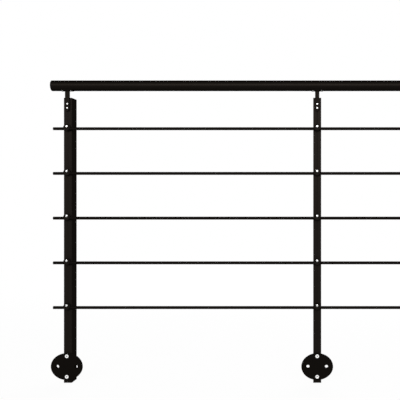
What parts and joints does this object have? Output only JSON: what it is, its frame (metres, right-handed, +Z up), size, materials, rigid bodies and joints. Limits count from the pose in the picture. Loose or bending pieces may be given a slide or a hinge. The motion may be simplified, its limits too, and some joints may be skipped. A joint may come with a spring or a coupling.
{
  "type": "side-mounted aluminium railing",
  "caption": "Black aluminium balcony railing: box posts on oval wall flanges, a round handrail on flat brackets, and level round rods held by round bosses.",
  "frame": {"origin": "centre of the middle post's wall flange, on the face that lies against the wall", "axes": "+X along the railing, +Y from the wall towards the far side of the posts, +Z up"},
  "size_m": [2.127, 0.0772, 1.2114],
  "materials": {
    "black_coating": "satin",
    "black_plastic": "satin",
    "bright_steel": "satin"
  },
  "bodies": {
    "root": {"handrail": "black_coating", "handrail_bracket_left": "black_coating", "handrail_bracket_middle": "black_coating", "handrail_bracket_right": "black_coating", "handrail_end_cap_left": "black_plastic", "handrail_end_cap_right": "black_plastic", "infill_rod_1": "black_coating", "infill_rod_2": "black_coating", "infill_rod_3": "black_coating", "infill_rod_4": "black_coating", "infill_rod_5": "black_coating", "post_foot_cap_left": "black_plastic", "post_foot_cap_middle": "black_plastic", "post_foot_cap_right": "black_plastic", "post_left": "black_coating", "post_middle": "black_coating", "post_right": "black_coating", "post_top_cap_left": "black_plastic", "post_top_cap_middle": "black_plastic", "post_top_cap_right": "black_plastic", "rod_holder_left_1": "black_coating", "rod_holder_left_2": "black_coating", "rod_holder_left_3": "black_coating", "rod_holder_left_4": "black_coating", "rod_holder_left_5": "black_coating", "rod_holder_middle_1": "black_coating", "rod_holder_middle_2": "black_coating", "rod_holder_middle_3": "black_coating", "rod_holder_middle_4": "black_coating", "rod_holder_middle_5": "black_coating", "rod_holder_right_1": "black_coating", "rod_holder_right_2": "black_coating", "rod_holder_right_3": "black_coating", "rod_holder_right_4": "black_coating", "rod_holder_right_5": "black_coating", "wall_flange_left": "black_coating", "wall_flange_middle": "black_coating", "wall_flange_right": "black_coating"}
  },
  "joints": []
}
